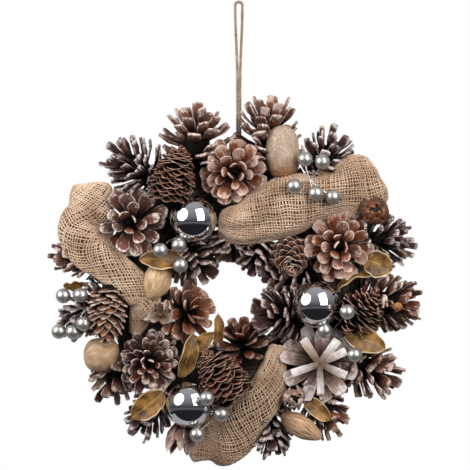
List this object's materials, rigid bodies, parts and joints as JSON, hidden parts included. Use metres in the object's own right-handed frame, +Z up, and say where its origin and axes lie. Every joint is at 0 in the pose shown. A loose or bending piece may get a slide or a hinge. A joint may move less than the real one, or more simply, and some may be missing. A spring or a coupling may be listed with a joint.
{
  "type": "christmas wreath",
  "caption": "Round door wreath of pine cones, hessian swags, silver baubles and berries, nuts, capsules and ochre leaves on a straw ring, hung from a twine loop.",
  "frame": {"origin": "top of the inside of the hanging loop, where a nail or hook holds it", "axes": "+Z up, +Y towards the wall behind the wreath, +X to the viewer's right"},
  "size_m": [0.3136, 0.0813, 0.3947],
  "materials": {
    "straw": "bound straw, matt",
    "twine": "twisted jute",
    "cone_brown": "woody scales with a whitewashed rim",
    "cone_tan": "woody scales with a pale rim",
    "cone_dark": "dark woody scales with grey tips",
    "cone_bleached": "bleached woody scales",
    "hessian": "open plain weave of jute",
    "silver_glass": "silvered glass, bright",
    "silver_satin": "satin silver lacquer",
    "nut_shell": "dry shell, satin",
    "husk": "dry husk, matt",
    "dried_leaf": "dried ochre leaf with a pale edge"
  },
  "bodies": {
    "root": {"ring_base": "straw", "hang_cord": "twine", "hang_cord_tie": "twine", "bauble_upper": "silver_glass", "bauble_right": "silver_glass", "bauble_lower": "silver_glass", "nut_top": "nut_shell", "nut_left": "nut_shell", "pod_left": "nut_shell", "pod_bottom": "nut_shell", "shells_left": "nut_shell", "capsule_right": "husk", "capsule_lower": "husk", "husks_bottom": "husk", "cone_bleached": "cone_bleached", "hessian_left": "hessian", "hessian_upper_right": "hessian", "hessian_bottom": "hessian", "berries_top_right": "silver_satin", "berries_upper_left": "silver_satin", "berries_left": "silver_satin", "berries_right": "silver_satin", "berries_bottom": "silver_satin", "leaf_upper_left": "dried_leaf", "leaf_right": "dried_leaf", "leaf_edge_on": "dried_leaf", "leaf_lower_right": "dried_leaf", "leaf_lower_left": "dried_leaf", "leaf_bottom": "dried_leaf", "leaf_left": "dried_leaf", "leaf_sprig": "dried_leaf", "cone_rosette_top": "cone_tan", "cone_rosette_right": "cone_tan", "cone_rosette_left": "cone_tan", "cone_long_lower_left": "cone_tan", "cone_small": "cone_tan", "cone_inner_7": "cone_tan", "cone_outer_11": "cone_tan", "cone_rosette_lower": "cone_brown", "cone_long_left": "cone_brown", "cone_long_bottom": "cone_brown", "cone_narrow_right": "cone_brown", "cone_inner_5": "cone_brown", "cone_inner_6": "cone_brown", "cone_outer_2": "cone_brown", "cone_outer_3": "cone_brown", "cone_outer_6": "cone_brown", "cone_outer_7": "cone_brown", "cone_outer_8": "cone_brown", "cone_outer_13": "cone_brown", "cone_inner_1": "cone_dark", "cone_inner_2": "cone_dark", "cone_inner_3": "cone_dark", "cone_inner_4": "cone_dark", "cone_outer_1": "cone_dark", "cone_outer_4": "cone_dark", "cone_outer_5": "cone_dark", "cone_outer_9": "cone_dark", "cone_outer_10": "cone_dark", "cone_outer_12": "cone_dark"}
  },
  "joints": []
}
